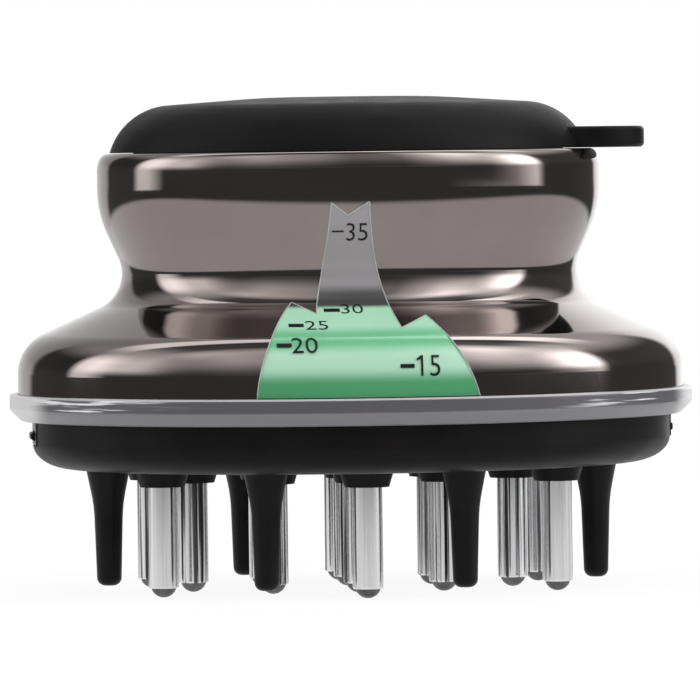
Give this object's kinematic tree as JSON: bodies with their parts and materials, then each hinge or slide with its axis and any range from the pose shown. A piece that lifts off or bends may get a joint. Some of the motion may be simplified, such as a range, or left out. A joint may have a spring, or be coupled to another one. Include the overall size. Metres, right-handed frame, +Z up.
{
  "type": "scalp applicator",
  "caption": "Palm-held oval scalp applicator: waisted liquid reservoir with level window and lift-off cap, on a base of sprung roller-ball tubes and soft massage teeth.",
  "frame": {"origin": "under the middle of the base, on the plane that the roller balls stand on", "axes": "+Z up through the filler cap, +X along the oval towards the cap's pull tab, level window facing -Y"},
  "size_m": [0.068, 0.054, 0.0491],
  "materials": {
    "cap_silicone": "matte",
    "smoky_body": "mirror-coated gloss",
    "clear_window": "clear gloss",
    "green_liquid": "clear",
    "frosted_collar": "frosted clear",
    "black_base": "satin",
    "gasket_rubber": "matte",
    "plate_plastic": "satin",
    "screw_steel": "plain",
    "tooth_rubber": "satin",
    "tube_steel": "polished",
    "ball_steel": "dull",
    "spring_steel": "drawn wire"
  },
  "bodies": {
    "root": {"reservoir_body": "smoky_body", "level_window": "clear_window", "liquid_fill": "green_liquid", "clear_collar": "frosted_collar", "base_housing": "black_base", "base_gasket": "gasket_rubber", "tube_plate": "plate_plastic", "plate_screws": "screw_steel", "massage_tooth_1": "tooth_rubber", "massage_tooth_2": "tooth_rubber", "massage_tooth_3": "tooth_rubber", "massage_tooth_4": "tooth_rubber", "massage_tooth_5": "tooth_rubber", "massage_tooth_6": "tooth_rubber", "dispensing_tube_01": "tube_steel", "dispensing_tube_02": "tube_steel", "dispensing_tube_03": "tube_steel", "dispensing_tube_04": "tube_steel", "dispensing_tube_05": "tube_steel", "dispensing_tube_06": "tube_steel", "dispensing_tube_07": "tube_steel", "dispensing_tube_08": "tube_steel", "dispensing_tube_09": "tube_steel", "dispensing_tube_10": "tube_steel", "dispensing_tube_11": "tube_steel", "dispensing_tube_12": "tube_steel", "dispensing_tube_13": "tube_steel", "dispensing_tube_14": "tube_steel"},
    "filler_cap": {"filler_cap": "cap_silicone"},
    "latch_button_left": {"latch_button_left": "black_base"},
    "latch_button_right": {"latch_button_right": "black_base"},
    "valve_spring_01": {"valve_spring_01": "spring_steel"},
    "roller_ball_01": {"roller_ball_01": "ball_steel"},
    "valve_spring_02": {"valve_spring_02": "spring_steel"},
    "roller_ball_02": {"roller_ball_02": "ball_steel"},
    "valve_spring_03": {"valve_spring_03": "spring_steel"},
    "roller_ball_03": {"roller_ball_03": "ball_steel"},
    "valve_spring_04": {"valve_spring_04": "spring_steel"},
    "roller_ball_04": {"roller_ball_04": "ball_steel"},
    "valve_spring_05": {"valve_spring_05": "spring_steel"},
    "roller_ball_05": {"roller_ball_05": "ball_steel"},
    "valve_spring_06": {"valve_spring_06": "spring_steel"},
    "roller_ball_06": {"roller_ball_06": "ball_steel"},
    "valve_spring_07": {"valve_spring_07": "spring_steel"},
    "roller_ball_07": {"roller_ball_07": "ball_steel"},
    "valve_spring_08": {"valve_spring_08": "spring_steel"},
    "roller_ball_08": {"roller_ball_08": "ball_steel"},
    "valve_spring_09": {"valve_spring_09": "spring_steel"},
    "roller_ball_09": {"roller_ball_09": "ball_steel"},
    "valve_spring_10": {"valve_spring_10": "spring_steel"},
    "roller_ball_10": {"roller_ball_10": "ball_steel"},
    "valve_spring_11": {"valve_spring_11": "spring_steel"},
    "roller_ball_11": {"roller_ball_11": "ball_steel"},
    "valve_spring_12": {"valve_spring_12": "spring_steel"},
    "roller_ball_12": {"roller_ball_12": "ball_steel"},
    "valve_spring_13": {"valve_spring_13": "spring_steel"},
    "roller_ball_13": {"roller_ball_13": "ball_steel"},
    "valve_spring_14": {"valve_spring_14": "spring_steel"},
    "roller_ball_14": {"roller_ball_14": "ball_steel"}
  },
  "joints": [
    {"name": "filler_cap_lift", "type": "slide", "parent": "root", "child": "filler_cap", "axis": [0, 0, 1], "range_m": [0, 0.016]},
    {"name": "latch_left_press", "type": "slide", "parent": "root", "child": "latch_button_left", "axis": [1, 0, 0], "range_m": [0, 0.0011], "stiffness_N_per_m": 400, "springref_m": -0.0005},
    {"name": "latch_right_press", "type": "slide", "parent": "root", "child": "latch_button_right", "axis": [-1, 0, 0], "range_m": [0, 0.0011], "stiffness_N_per_m": 400, "springref_m": -0.0005},
    {"name": "valve_01_press", "type": "slide", "parent": "root", "child": "valve_spring_01", "axis": [0, 0, 1], "range_m": [0, 0.0004], "stiffness_N_per_m": 20, "springref_m": -0.0004, "deforming": ["valve_spring_01"]},
    {"name": "ball_01_roll", "type": "hinge", "parent": "valve_spring_01", "child": "roller_ball_01", "pos_m": [0, -0.0146, 0.0013], "axis": [1, 0, 0], "continuous": true},
    {"name": "valve_02_press", "type": "slide", "parent": "root", "child": "valve_spring_02", "axis": [0, 0, 1], "range_m": [0, 0.0004], "stiffness_N_per_m": 20, "springref_m": -0.0004, "deforming": ["valve_spring_02"]},
    {"name": "ball_02_roll", "type": "hinge", "parent": "valve_spring_02", "child": "roller_ball_02", "pos_m": [0, 0.0146, 0.0013], "axis": [-1, 0, 0], "continuous": true},
    {"name": "valve_03_press", "type": "slide", "parent": "root", "child": "valve_spring_03", "axis": [0, 0, 1], "range_m": [0, 0.0004], "stiffness_N_per_m": 20, "springref_m": -0.0004, "deforming": ["valve_spring_03"]},
    {"name": "ball_03_roll", "type": "hinge", "parent": "valve_spring_03", "child": "roller_ball_03", "pos_m": [-0.01952, -0.0078, 0.0013], "axis": [0.371, -0.9286, 0], "continuous": true},
    {"name": "valve_04_press", "type": "slide", "parent": "root", "child": "valve_spring_04", "axis": [0, 0, 1], "range_m": [0, 0.0004], "stiffness_N_per_m": 20, "springref_m": -0.0004, "deforming": ["valve_spring_04"]},
    {"name": "ball_04_roll", "type": "hinge", "parent": "valve_spring_04", "child": "roller_ball_04", "pos_m": [0.01952, -0.0078, 0.0013], "axis": [0.371, 0.9286, 0], "continuous": true},
    {"name": "valve_05_press", "type": "slide", "parent": "root", "child": "valve_spring_05", "axis": [0, 0, 1], "range_m": [0, 0.0004], "stiffness_N_per_m": 20, "springref_m": -0.0004, "deforming": ["valve_spring_05"]},
    {"name": "ball_05_roll", "type": "hinge", "parent": "valve_spring_05", "child": "roller_ball_05", "pos_m": [-0.01952, 0.0078, 0.0013], "axis": [-0.371, -0.9286, 0], "continuous": true},
    {"name": "valve_06_press", "type": "slide", "parent": "root", "child": "valve_spring_06", "axis": [0, 0, 1], "range_m": [0, 0.0004], "stiffness_N_per_m": 20, "springref_m": -0.0004, "deforming": ["valve_spring_06"]},
    {"name": "ball_06_roll", "type": "hinge", "parent": "valve_spring_06", "child": "roller_ball_06", "pos_m": [0.01952, 0.0078, 0.0013], "axis": [-0.371, 0.9286, 0], "continuous": true},
    {"name": "valve_07_press", "type": "slide", "parent": "root", "child": "valve_spring_07", "axis": [0, 0, 1], "range_m": [0, 0.0004], "stiffness_N_per_m": 20, "springref_m": -0.0004, "deforming": ["valve_spring_07"]},
    {"name": "ball_07_roll", "type": "hinge", "parent": "valve_spring_07", "child": "roller_ball_07", "pos_m": [-0.01601, 0, 0.0013], "axis": [0, -1, 0], "continuous": true},
    {"name": "valve_08_press", "type": "slide", "parent": "root", "child": "valve_spring_08", "axis": [0, 0, 1], "range_m": [0, 0.0004], "stiffness_N_per_m": 20, "springref_m": -0.0004, "deforming": ["valve_spring_08"]},
    {"name": "ball_08_roll", "type": "hinge", "parent": "valve_spring_08", "child": "roller_ball_08", "pos_m": [0.01601, 0, 0.0013], "axis": [0, 1, 0], "continuous": true},
    {"name": "valve_09_press", "type": "slide", "parent": "root", "child": "valve_spring_09", "axis": [0, 0, 1], "range_m": [0, 0.0004], "stiffness_N_per_m": 20, "springref_m": -0.0004, "deforming": ["valve_spring_09"]},
    {"name": "ball_09_roll", "type": "hinge", "parent": "valve_spring_09", "child": "roller_ball_09", "pos_m": [-0.00849, -0.0054, 0.0013], "axis": [0.5369, -0.8437, 0], "continuous": true},
    {"name": "valve_10_press", "type": "slide", "parent": "root", "child": "valve_spring_10", "axis": [0, 0, 1], "range_m": [0, 0.0004], "stiffness_N_per_m": 20, "springref_m": -0.0004, "deforming": ["valve_spring_10"]},
    {"name": "ball_10_roll", "type": "hinge", "parent": "valve_spring_10", "child": "roller_ball_10", "pos_m": [0.00849, -0.0054, 0.0013], "axis": [0.5369, 0.8437, 0], "continuous": true},
    {"name": "valve_11_press", "type": "slide", "parent": "root", "child": "valve_spring_11", "axis": [0, 0, 1], "range_m": [0, 0.0004], "stiffness_N_per_m": 20, "springref_m": -0.0004, "deforming": ["valve_spring_11"]},
    {"name": "ball_11_roll", "type": "hinge", "parent": "valve_spring_11", "child": "roller_ball_11", "pos_m": [-0.00849, 0.0054, 0.0013], "axis": [-0.5369, -0.8437, 0], "continuous": true},
    {"name": "valve_12_press", "type": "slide", "parent": "root", "child": "valve_spring_12", "axis": [0, 0, 1], "range_m": [0, 0.0004], "stiffness_N_per_m": 20, "springref_m": -0.0004, "deforming": ["valve_spring_12"]},
    {"name": "ball_12_roll", "type": "hinge", "parent": "valve_spring_12", "child": "roller_ball_12", "pos_m": [0.00849, 0.0054, 0.0013], "axis": [-0.5369, 0.8437, 0], "continuous": true},
    {"name": "valve_13_press", "type": "slide", "parent": "root", "child": "valve_spring_13", "axis": [0, 0, 1], "range_m": [0, 0.0004], "stiffness_N_per_m": 20, "springref_m": -0.0004, "deforming": ["valve_spring_13"]},
    {"name": "ball_13_roll", "type": "hinge", "parent": "valve_spring_13", "child": "roller_ball_13", "pos_m": [0, -0.0054, 0.0013], "axis": [1, 0, 0], "continuous": true},
    {"name": "valve_14_press", "type": "slide", "parent": "root", "child": "valve_spring_14", "axis": [0, 0, 1], "range_m": [0, 0.0004], "stiffness_N_per_m": 20, "springref_m": -0.0004, "deforming": ["valve_spring_14"]},
    {"name": "ball_14_roll", "type": "hinge", "parent": "valve_spring_14", "child": "roller_ball_14", "pos_m": [0, 0.0054, 0.0013], "axis": [-1, 0, 0], "continuous": true}
  ]
}
